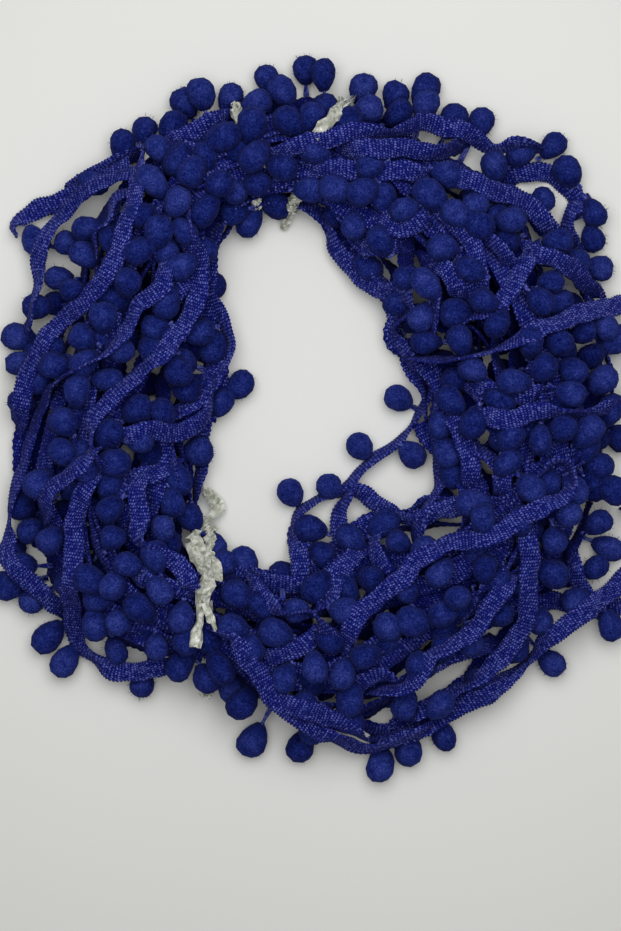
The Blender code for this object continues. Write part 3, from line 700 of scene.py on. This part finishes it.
def addCellNoise(tree, column, row):
    # one value for each stitch
    corner = {"X": addMath(tree, "FLOOR", column), "Y": addMath(tree, "FLOOR", row)}
    cell = addNode(tree, "CombineXYZ", corner)["Vector"]
    return addNode(tree, "TexWhiteNoise", {"Vector": cell}, noise_dimensions="2D")["Value"]


def addBump(tree, height, distance, strength, **before):
    sockets = {"Height": height, "Distance": distance, "Strength": strength, **before}
    return addNode(tree, "Bump", sockets)["Normal"]


# The weave: stitches in columns along the braid, in rows that slant within a column and are set
# half a column aside on every second rib. Colours run from painted shade in the gaps through the yarn's own
# blue to a painted highlight on the top of the yarn.
weave = {
    "columns": 8, "slant": 0.55, "fuzzScale": 900, "patchScale": 160, "patch": 0.8, "bump": 0.0005,
    "stops": ((0.10, (0.0002, 0.0006, 0.052)), (0.56, (0.007, 0.014, 0.200)), (1, (0.130, 0.155, 0.500))),
    "sockets": {"Roughness": 0.8, "Specular IOR Level": 0.08, "Sheen Weight": 0.08, "Sheen Roughness": 0.5,
                "Sheen Tint": (0.30, 0.32, 0.85, 1)},
}


def braidMaterial():
    material, tree, shader = startMaterial("Woven braid blue")
    plus, times = partial(addMath, tree, "ADD"), partial(addMath, tree, "MULTIPLY")
    uv = addNode(tree, "UVMap", {}, uv_map="weave")["UV"]
    split = addNode(tree, "SeparateXYZ", {0: uv})
    place = objectPlace(tree)
    fuzzy = addNoise(tree, place, weave["fuzzScale"])
    patch = addNoise(tree, place, weave["patchScale"])
    level = plus(split["Y"], times(patch, weave["patch"]))
    odd = addMath(tree, "MODULO", addMath(tree, "FLOOR", level), 2)
    column = plus(times(split["X"], weave["columns"]), plus(times(odd, 0.5), patch))
    inColumn = addMath(tree, "FRACT", column)
    row = plus(level, times(inColumn, weave["slant"]))
    across = addMath(tree, "SINE", times(inColumn, pi))
    rib = addMath(tree, "SINE", times(addMath(tree, "FRACT", row), pi))
    loop = times(plus(times(across, 0.6), 0.4), addMath(tree, "POWER", rib, 0.7))
    stitch = plus(times(addCellNoise(tree, column, row), 0.6), 0.7)
    # painted shade by depth from the attribute, laid over each stitch's own drawn tone
    lit = times(stitch, addMath(tree, "SUBTRACT", 1, toneAndPaintedShadeOf(tree)))
    # the stitch height paints shade into the gaps and a highlight onto the top of each loop
    uneven = times(times(loop, lit), plus(times(fuzzy, 1.9), -0.08))
    tree.links.new(addRamp(tree, uneven, weave["stops"]), shader.inputs["Base Color"])
    bump = addBump(tree, plus(loop, times(fuzzy, 0.5)), weave["bump"], 0.8)
    tree.links.new(bump, shader.inputs["Normal"])
    setSockets(shader, weave["sockets"])
    return material


# Colours run from painted shade between the hairs to painted light on their tips. Round is painted light and
# shade: it lightens what faces up and darkens the sides and underside.
plush = {
    "fineScale": 1100, "clumpScale": 260, "toneAndPaintedShade": 0.10, "bump": 0.0007, "round": 1.5, "paintedLightFrom": 0.85,
    "stops": ((0.34, (0.0005, 0.002, 0.045)), (0.50, (0.009, 0.019, 0.158)), (0.72, (0.060, 0.082, 0.370))),
    "sockets": {"Roughness": 0.95, "Specular IOR Level": 0.05, "Sheen Weight": 0.15, "Sheen Roughness": 0.45,
                "Sheen Tint": (0.20, 0.25, 0.90, 1)},
}


def plushMaterial():
    material, tree, shader = startMaterial("Plush pompom blue")
    plus, times = partial(addMath, tree, "ADD"), partial(addMath, tree, "MULTIPLY")
    place = objectPlace(tree)
    fine = addNoise(tree, place, plush["fineScale"], 4, 0.75)
    clump = addNoise(tree, place, plush["clumpScale"], 2)
    mixed = plus(plus(times(fine, 0.75), times(clump, 0.25)), times(toneAndPaintedShadeOf(tree), plush["toneAndPaintedShade"]))
    # the noise paints shade between the hairs and light on their tips; the ramp's ends are painted shade and
    # painted light
    tree.links.new(addRamp(tree, mixed, plush["stops"]), shader.inputs["Base Color"])
    soft = addBump(tree, clump, plush["bump"] * 2, 0.7)
    tree.links.new(addBump(tree, fine, plush["bump"], 0.9, Normal=soft), shader.inputs["Normal"])
    setSockets(shader, plush["sockets"])
    return material


# Sizes of the film in mm. Pinches are waves of its width: size, pace and share of the drawn phase.
film = {
    "thick": 0.3, "flatWidth": 10.5, "pleats": 5, "pleatDepth": 2.3, "step": 2.9, "slip": 0.75, "lift": 0.6,
    "pinches": ((0.20, 0.55, 1), (0.12, 1.37, 2)), "foldWave": 0.45, "foldPace": 0.7, "foldShift": 2.1,
    "loopPoints": 150, "loopLow": 1, "loopGap": 0.4, "loopBulge": (0.55, 0.75), "contact": 3.2,
    "lowest": 2, "over": 1, "sag": 0.4, "sagRounds": 6, "creaseScale": 420, "facetScale": 480,
    # stops: the film's own milky grey in the middle, painted shade and painted glints at the ends
    "stops": ((0.30, (0.40, 0.42, 0.34)), (0.52, (0.66, 0.68, 0.58)), (0.70, (0.92, 0.93, 0.86))),
    "sockets": {"Roughness": 0.14, "Transmission Weight": 0.30, "IOR": 1.45, "Coat Weight": 0.8,
                "Coat Roughness": 0.06},
}


def filmMaterial():
    material, tree, shader = startMaterial("Crumpled clear film")
    place = objectPlace(tree)
    # painted light and shade: facets and creases of the film lighter or darker as if they faced the lamp
    # differently
    creaseLightAndShade = addNoise(tree, place, film["creaseScale"], 2, 0.5)
    facets = addNode(tree, "TexVoronoi", {"Vector": place, "Scale": film["facetScale"]})["Color"]
    facetLightAndShade = addNode(tree, "SeparateColor", {"Color": facets})["Red"]
    mixed = addMath(tree, "ADD", addMath(tree, "MULTIPLY", creaseLightAndShade, 0.6),
                    addMath(tree, "MULTIPLY", facetLightAndShade, 0.4))
    tree.links.new(addRamp(tree, mixed, film["stops"]), shader.inputs["Base Color"])
    setSockets(shader, film["sockets"])
    return material


braidBlue = braidMaterial()
plushBlue = plushMaterial()
clearFilm = filmMaterial()

floorGap = 0.1
# one slice of the braid: share of the half width, and of the half thickness
braidSlice = np.array([(-1, 0), (-0.86, 0.8), (0, 1), (0.86, 0.8),
                       (1, 0), (0.86, -0.8), (0, -1), (-0.86, -0.8)])
# Braids and pompoms get painted shade: their colour is made darker with the depth in mm below
# the part of the heap that is open to the light.
shade = {"open": 8, "braid": 0.030, "pompom": 0.08, "most": 0.6}


def keptOffFloor(points):
    points[..., 2] = np.maximum(points[..., 2], floorGap)
    return points


def slowWaves(at, size, longest):
    # an uneven wave along the braid, from three sines of a drawn phase
    return size * sum(np.sin(tau * at / (longest / quicker) + draw.uniform(0, tau)) / quicker
                      for quicker in (1, 1.7, 2.9))


def depthOf(place):
    return max(domeAt(place[0], place[1]) - place[2] - shade["open"], 0)


def sleeveFaces(rings, sides, closed=False):
    # the faces round a row of rings of points, capped at both ends where it isn't closed to a loop
    faces = []
    for at in range(rings if closed else rings - 1):
        here, after = at * sides, (at + 1) % rings * sides
        for k in range(sides):
            other = (k + 1) % sides
            faces.append((here + k, here + other, after + other, after + k))
    if not closed:
        faces.append(tuple(range(sides - 1, -1, -1)))
        faces.append(tuple((rings - 1) * sides + k for k in range(sides)))
    return faces


def braidMesh(centre, lean, slices=2):
    # points, faces and, for each point, weave place and painted shade of one closed braid: two
    # slices a rib, one raised and drawn out
    walked = walkedAlong(centre)
    count = max(int(round(walked[-1] / braid["ribPitch"])) * slices, 2)
    at = np.linspace(0, walked[-1], count + 1)
    fine = rowsAt(at, walked, centre)
    for _ in range(braid["smoothRounds"]):
        fine[1:-1] = 0.25 * fine[:-2] + 0.5 * fine[1:-1] + 0.25 * fine[2:]
    ease = np.clip(np.minimum(at, walked[-1] - at) / braid["fadeLength"], 0, 1)
    leans = np.interp(at, walked, lean) + slowWaves(at, *braid["turnWander"]) * ease
    _along, across, face = braidFrames(fine, leans)
    fine = fine + across * (slowWaves(at, *braid["sideWander"]) * ease)[:, None]
    half = braid["width"] / 2 * (1 + slowWaves(at, *braid["widthWander"]))[:, None]
    loops = ((np.arange(len(at)) % 2) * 2 - 1)[:, None]
    edge = np.abs(braidSlice[:, 0])[None, :] > 0.99
    offsets = (half + np.where(edge, braid["scallop"] * loops, 0)) * braidSlice[None, :, 0]
    curl = slowWaves(at, *braid["curl"])[:, None] * braidSlice[None, :, 0] ** 2
    lift = braidSlice[None, :, 1] * (braid["thick"] / 2 + braid["ribHeight"] * loops) + curl
    points = fine[:, None, :] + across[:, None, :] * offsets[:, :, None] + face[:, None, :] * lift[:, :, None]
    # painted shade: the braid's colour is darker the deeper it lies under the open top of the heap
    dim = np.minimum([depthOf(place) * shade["braid"] for place in fine], shade["most"])
    columns = ((braidSlice[:, 0] + 1) / 2, (np.arange(len(at)) / slices)[:, None], dim[:, None])
    size = (len(at), len(braidSlice))
    weavePlace = np.stack([np.broadcast_to(column, size) for column in columns], axis=2)
    return keptOffFloor(points).reshape(-1, 3), sleeveFaces(*size), weavePlace.reshape(-1, 3)


def joinParts(parts):
    points, faces, extras, base = [], [], [], 0
    for part in parts:
        points.append(part[0])
        faces += [tuple(k + base for k in face) for face in part[1]]
        extras += part[2:]
        base += len(part[0])
    return np.concatenate(points), faces, np.concatenate(extras) if extras else None


def trianglesOf(faces):
    return sum(len(face) - 2 for face in faces)


def finishPiece(piece, slotName, *nodes):
    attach(piece, "root")
    if nodes:
        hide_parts(*nodes)
    return piece


def makeBraids():
    for shown, name in enumerate(("lowerTurns", "upperTurns")):
        points, faces, weavePlace = joinParts(
            [braidMesh(centre, lean, 1 + shown) for centre, lean, shows in laidBraids if shows == shown])
        piece = newMesh(name, points, faces, braidBlue, weavePlace[:, :2], weavePlace[:, 2])
        finishPiece(piece, "plush_blue", "wound_hank")
        print(name, trianglesOf(faces), "triangles")


def pompomShape():
    # a cube divided and drawn out to a ball, with a dimple where its stem goes in
    bpy.ops.object.select_all(action="DESELECT")
    bpy.ops.mesh.primitive_cube_add(size=2, location=(0, 0, 0))
    ball = bpy.context.object
    bpy.ops.object.mode_set(mode="EDIT")
    bpy.ops.mesh.select_all(action="SELECT")
    bpy.ops.mesh.subdivide(number_cuts=pompom["cuts"])
    bpy.ops.transform.tosphere(value=1)
    bpy.ops.object.mode_set(mode="OBJECT")
    points = unit(np.array([v.co for v in ball.data.vertices]))
    faces = np.array([tuple(p.vertices) for p in ball.data.polygons])
    bpy.data.objects.remove(ball, do_unlink=True)
    near = np.clip(-points[:, 2], 0, 1)
    points[:, :2] *= (1 + pompom["taper"] * points[:, 2] - pompom["neck"] * near)[:, None]
    points[:, 2] -= pompom["dimple"] * near ** 3
    return points, faces


def around(side, other, turn):
    # the direction at an angle in the plane of two others
    return side * cos(turn) + other * sin(turn)


def turnTo(axis):
    return Vector((0, 0, 1)).rotation_difference(Vector(axis)).to_matrix()


def makeBalls(name, parts, shapeFaces):
    # one mesh of the balls of a piece, from the points and the tones of each, painted light and shade
    # included
    points, tones = [np.concatenate(column) for column in zip(*parts)]
    faces = np.concatenate([shapeFaces + number * len(part[0]) for number, part in enumerate(parts)])
    return newMesh(name, keptOffFloor(points), faces.tolist(), plushBlue, toneAndPaintedShade=tones)


def heapBall(shape, root, centre):
    # the points of one pompom of the heap, each a little different, and their tones: a drawn one, painted
    # light on what faces up and painted shade on the sides and with depth
    spin = Matrix.Rotation(draw.uniform(0, tau), 3, "Z")
    turn = np.array(turnTo(unit(centre - root)) @ spin)
    size = 1 + stray(1) * pompom["sizeSpread"]
    squeeze = stray(pompom["squeeze"])
    stretch = draw.uniform(*pompom["stretch"])
    scale = np.array([pompom["wide"] * (1 + squeeze), pompom["wide"] * (1 - squeeze),
                      pompom["long"] * (1 + stretch)]) / 2 * size
    wave = shape @ np.array([stray(3) for _ in range(3)]) + draw.uniform(0, 6)
    wobble = 1 + pompom["wobble"] * np.sin(wave)
    local = (shape * wobble[:, None] * scale) @ turn.T
    upward = unit(local)[:, 2]
    # painted light and shade: lighter where the ball faces up, darker on its sides and underside
    lit = plush["round"] * (upward - plush["paintedLightFrom"])
    return local + centre, stray(0.5) + lit - shade["pompom"] * depthOf(centre)


def makePompoms():
    shape, shapeFaces = pompomShape()
    rows = sorted(laidPompoms, key=lambda row: atan2(row[1][1], row[1][0]))
    half = (len(rows) + 1) // 2
    for number, group in enumerate((rows[:half], rows[half:])):
        piece = makeBalls(f"pompoms{number + 1}", [heapBall(shape, *row) for row in group], shapeFaces)
        finishPiece(piece, "plush_blue", "wound_hank")
        print(piece.name, len(group), "balls", 2 * len(shapeFaces) * len(group), "triangles")


fuzz = {"hairs": 24, "longest": 1.6, "sunk": 0.8, "base": 0.16, "bend": 0.35, "outward": 0.6}


def makeFuzz():
    # stray hairs on the pompoms that show, each a thin spike of three sides
    groups = [[], []]
    for number, (root, centre) in enumerate(topPompoms):
        axis = unit(centre - root)
        for _ in range(fuzz["hairs"]):
            way = unit(np.array([draw.gauss(0, 1) for _ in range(3)]) + fuzz["outward"] * axis)
            side = unit(np.cross(way, np.array([0.3, 0.5, 0.8])))
            other = np.cross(way, side)
            along = abs(float(way @ axis))
            radius = (pompom["wide"] + (pompom["long"] - pompom["wide"]) * along) / 2
            start = centre + way * (radius - fuzz["sunk"])
            bent = way + fuzz["bend"] * side * stray(1)
            tip = start + bent * (fuzz["longest"] * draw.uniform(0.5, 1) + fuzz["sunk"])
            foot = [start + fuzz["base"] * around(side, other, turn)
                    for turn in (0, tau / 3, 2 * tau / 3)]
            spike = keptOffFloor(np.array(foot + [tip]))
            groups[number % 2].append((spike, [(0, 2, 1), (0, 1, 3), (1, 2, 3), (2, 0, 3)]))
    for number, parts in enumerate(groups):
        points, faces, _none = joinParts(parts)
        piece = newMesh(f"strayHairs{number + 1}", points, faces, plushBlue, toneAndPaintedShade=np.full(len(points), 0.5))
        finishPiece(piece, "plush_blue", "wound_hank")
        print(piece.name, len(faces), "triangles")


# The stems' weave place lies at the dark edge of the weave.
stem = {"radius": 0.85, "apart": 0.75, "sides": 4, "rings": 4, "twist": 2.2, "weavePlace": 0.08}


def stemPart(root, centre):
    # the twisted pair of cords from the braid's edge into a pompom
    axis = unit(centre - root)
    way = centre - axis * (pompom["long"] / 2 - pompom["stemSink"]) - root
    axis = unit(way)
    side = unit(np.cross(axis, np.array([0.2, 0.1, 1])))
    up = np.cross(side, axis)
    parts = []
    for sign in (-1, 1):
        points = []
        for at in range(stem["rings"]):
            share = at / (stem["rings"] - 1)
            twist = stem["twist"] * share
            middle = root + way * share + sign * stem["apart"] * around(side, up, twist)
            for k in range(stem["sides"]):
                points.append(middle + stem["radius"] * around(side, up, tau * k / stem["sides"]))
        parts.append((keptOffFloor(np.array(points)), sleeveFaces(stem["rings"], stem["sides"])))
    return parts


def makeStems(name, rows):
    points, faces, _none = joinParts([part for row in rows for part in stemPart(*row)])
    print(name, trianglesOf(faces), "triangles")
    return newMesh(name, points, faces, braidBlue, np.full((len(points), 2), stem["weavePlace"]))


makeBraids()
makePompoms()
finishPiece(makeStems("stemCords", laidPompoms), "plush_blue", "wound_hank")
makeFuzz()

# Steps along a stretch that lies by itself, and how far from its middle line the stems start, in mm.
loose = {"step": 1, "edge": 5.25}


def looseFringe(name, row):
    # the braid, the pompoms and the stems of a stretch that lies by itself
    route = evenRoute(row["points"], loose["step"])
    points, faces, weavePlace = braidMesh(route[:, :3], route[:, 3])
    braidPiece = newMesh(name + "Braid", points, faces, braidBlue, weavePlace[:, :2])
    edges = edgesOf(route[:, :3], route[:, 3], loose["edge"])
    shape, shapeFaces = pompomShape()
    rows, parts = [], []
    for x, y in row["pompoms"]:
        centre = np.array([x, y, pompom["floor"]])
        root = edges[np.argmin(sizesOf(edges - centre))]
        rows.append((root, centre))
        scale = np.array([pompom["wide"], pompom["wide"], pompom["long"]]) / 2
        ball = (shape * scale) @ np.array(turnTo(unit(centre - root))).T + centre
        parts.append((ball, np.zeros(len(shape))))
    balls = makeBalls(name + "Pompoms", parts, shapeFaces)
    return braidPiece, balls, makeStems(name + "Stems", rows), route


for name, row, node in (("looseEnd", looseEnd, "loose_end"), ("innerBow", innerBow, "inner_bow")):
    braidPiece, balls, cords, route = looseFringe(name, row)
    for piece in (braidPiece, balls, cords):
        finishPiece(piece, "braid_blue", node)
    length = float(stepsOf(route[:, :3]).sum()) * mm
    print(name, "is", round(length, 4), "m long")

# Film ties: inner and outer point of the loop, its height under the pompoms, its width, and what
# shows on top: how far each end lies above the heap's crest, then x, y and width along it.
tieRow = namedtuple("tieRow", "name node inner outer buried width tails")
ties = [tieRow(*row) for row in (
    ("lowerTie", "film_tie_low", (-51, -54), (-54, -142), 24, 5, (
        (2, ((-53, -33, 1), (-51, -37, 5), (-46, -43, 7), (-50, -49, 5), (-56, -55, 5), (-58, -60, 8))),
        (3, ((-58, -60, 8), (-56, -66, 10), (-53, -73, 9), (-51, -80, 9), (-54, -88, 7), (-54, -95, 5))),
        (4, ((-53, -66, 5), (-49, -73, 8), (-46, -78, 5), (-44, -80, 1))),
        (4, ((-54, -92, 6), (-55, -99, 5), (-57, -107, 6), (-57, -113, 6))),
        (1, ((-53, -92, 4), (-50, -99, 4), (-47, -105, 2))),
    )),
    ("upperTie", "film_tie_top", (-10, 108), (18, 166), 24, 5, (
        (4, ((22, 164, 2), (20, 161, 6), (15, 155, 7), (10, 150, 5), (6, 145, 6), (3, 140, 6))),
        (-4, ((-4, 119, 5), (-7, 112, 7), (-11, 106, 6), (-12, 100, 5), (-13, 95, 3))),
    )),
    ("sideTie", "film_tie_side", (-27, 110), (-38, 164), 24, 4, (
        (-6, ((-39, 157, 3), (-36, 152, 5), (-32, 146, 6), (-28, 139, 6), (-23, 131, 5), (-19, 126, 3))),
    )),
)]


def filmStrip(route, width, closed):
    # a pleated strip of film along a route, crumpled a little differently at each place
    if closed:
        along = unit((np.roll(route, -1, axis=0) - np.roll(route, 1, axis=0)) / 2)
        side = unit(np.cross(along, unit(route - route.mean(axis=0))))
    else:
        along = unit(np.gradient(route, axis=0))
        side = unit(np.cross(along, np.array([0.05, 0.02, 1])))
    face = np.cross(side, along)
    shares = np.linspace(-1, 1, film["pleats"])
    rows = []
    phase = draw.uniform(0, 6)
    for at in range(len(route)):
        pinch = sum((size * sin(at * pace + times * phase) for size, pace, times in film["pinches"]), 1)
        row = []
        for k, share in enumerate(shares):
            wave = film["foldWave"] * sin(at * film["foldPace"] + k * film["foldShift"] + phase)
            fold = film["pleatDepth"] / 2 * (1 if k % 2 else -1) * (1 - film["foldWave"] + wave)
            slip, lift = stray(1) * film["slip"], stray(1) * film["lift"]
            row.append(route[at] + side[at] * (share * width[at] / 2 * pinch + slip)
                       + face[at] * (fold + lift) + along[at] * slip)
        rows.append(row)
    top = np.array(rows)
    below = top - face[:, None, :] * film["thick"]
    points = keptOffFloor(np.concatenate([top, below[:, ::-1]], axis=1))
    return points.reshape(-1, 3), sleeveFaces(len(route), 2 * film["pleats"], closed)


def restFilm(points, above):
    # lays a free end of film on the pompoms and braids under it; also returns its widths
    route = evenRoute(points, film["step"])
    width = route[:, 2].copy()
    for at, (x, y) in enumerate(route[:, :2]):
        dome = domeAt(x, y)
        route[at, :2] = fromView(x, y, dome)
        cells, rise = window(route[at, 0], route[at, 1], film["contact"])
        route[at, 2] = max(min(heapTop[cells][rise > 0].max(), dome + above), film["lowest"]) + film["over"]
    for _ in range(film["sagRounds"]):
        route[1:-1, 2] = np.maximum(route[1:-1, 2] - film["sag"], (route[:-2, 2] + route[2:, 2]) / 2)
    return route, width


def tieLoop(row):
    # the loop round the bundle: a flattened ring that stands across it
    start, end = np.array(row.inner, float), np.array(row.outer, float)
    along = unit(end - start)
    half, middle = np.linalg.norm(end - start) / 2, (start + end) / 2
    rise = (row.buried - film["loopLow"]) / 2
    points = []
    for turn in np.linspace(0, tau, film["loopPoints"], endpoint=False):
        reach, up = [copysign(abs(share) ** bulge, share)
                     for share, bulge in zip((cos(turn), sin(turn)), film["loopBulge"])]
        height = film["loopLow"] + rise + rise * up + film["loopGap"]
        points.append((*(middle + along * half * reach), height))
    return np.array(points)


for row in ties:
    route = tieLoop(row)
    parts = [filmStrip(route, np.full(len(route), row.width), True)]
    length = float(stepsOf(route).sum())
    for above, points in row.tails:
        route, width = restFilm(points, above)
        parts.append(filmStrip(route, width, False))
        length += float(stepsOf(route).sum())
    points, faces, _none = joinParts(parts)
    piece = newMesh(row.name, points, faces, clearFilm)
    piece.data.shade_flat()
    finishPiece(piece, "clear_film", row.node)
    print(row.name, round(length), "mm of film")

paleFloor = {"colour": (0.80, 0.805, 0.775), "dimmest": 0.97, "size": 6, "cloudScale": 2.5, "roughness": 0.6}


def makeFloor():
    bpy.ops.object.select_all(action="DESELECT")
    bpy.ops.mesh.primitive_plane_add(size=paleFloor["size"], location=(0, 0, 0))
    floor = bpy.context.object
    floor.name = "paleFloor"
    material, tree, shader = startMaterial("Pale table")
    cloudy = addNoise(tree, objectPlace(tree), paleFloor["cloudScale"], 2)
    dim = tuple(c * paleFloor["dimmest"] for c in paleFloor["colour"])
    colour = addRamp(tree, cloudy, ((0.3, dim), (0.7, paleFloor["colour"])))
    tree.links.new(colour, shader.inputs["Base Color"])
    shader.inputs["Roughness"].default_value = paleFloor["roughness"]
    floor.data.materials.append(material)


lamps = {
    "key": {"place": (0, 0.16, 0.70), "size": 0.8, "power": 4.5},
    "fill": {"place": (0.9, 0.1, 1.6), "size": 1.6, "power": 1.2},
}
room = {"Color": (1, 1, 0.99, 1), "Strength": 0.26}


def makeLights():
    for name, row in lamps.items():
        bpy.ops.object.light_add(type="AREA", location=row["place"])
        lamp = bpy.context.object
        lamp.name = name + "Lamp"
        lamp.data.shape = "DISK"
        lamp.data.size = row["size"]
        lamp.data.energy = row["power"]
        lamp.rotation_euler = (-Vector(row["place"])).to_track_quat("-Z", "Y").to_euler()
    world = bpy.data.worlds.new("Soft room")
    bpy.context.scene.world = world
    world.use_nodes = True
    setSockets(world.node_tree.nodes["Background"], room)
    bpy.context.scene.view_settings.view_transform = "Standard"


makeFloor()
makeLights()
print("floor and lights")
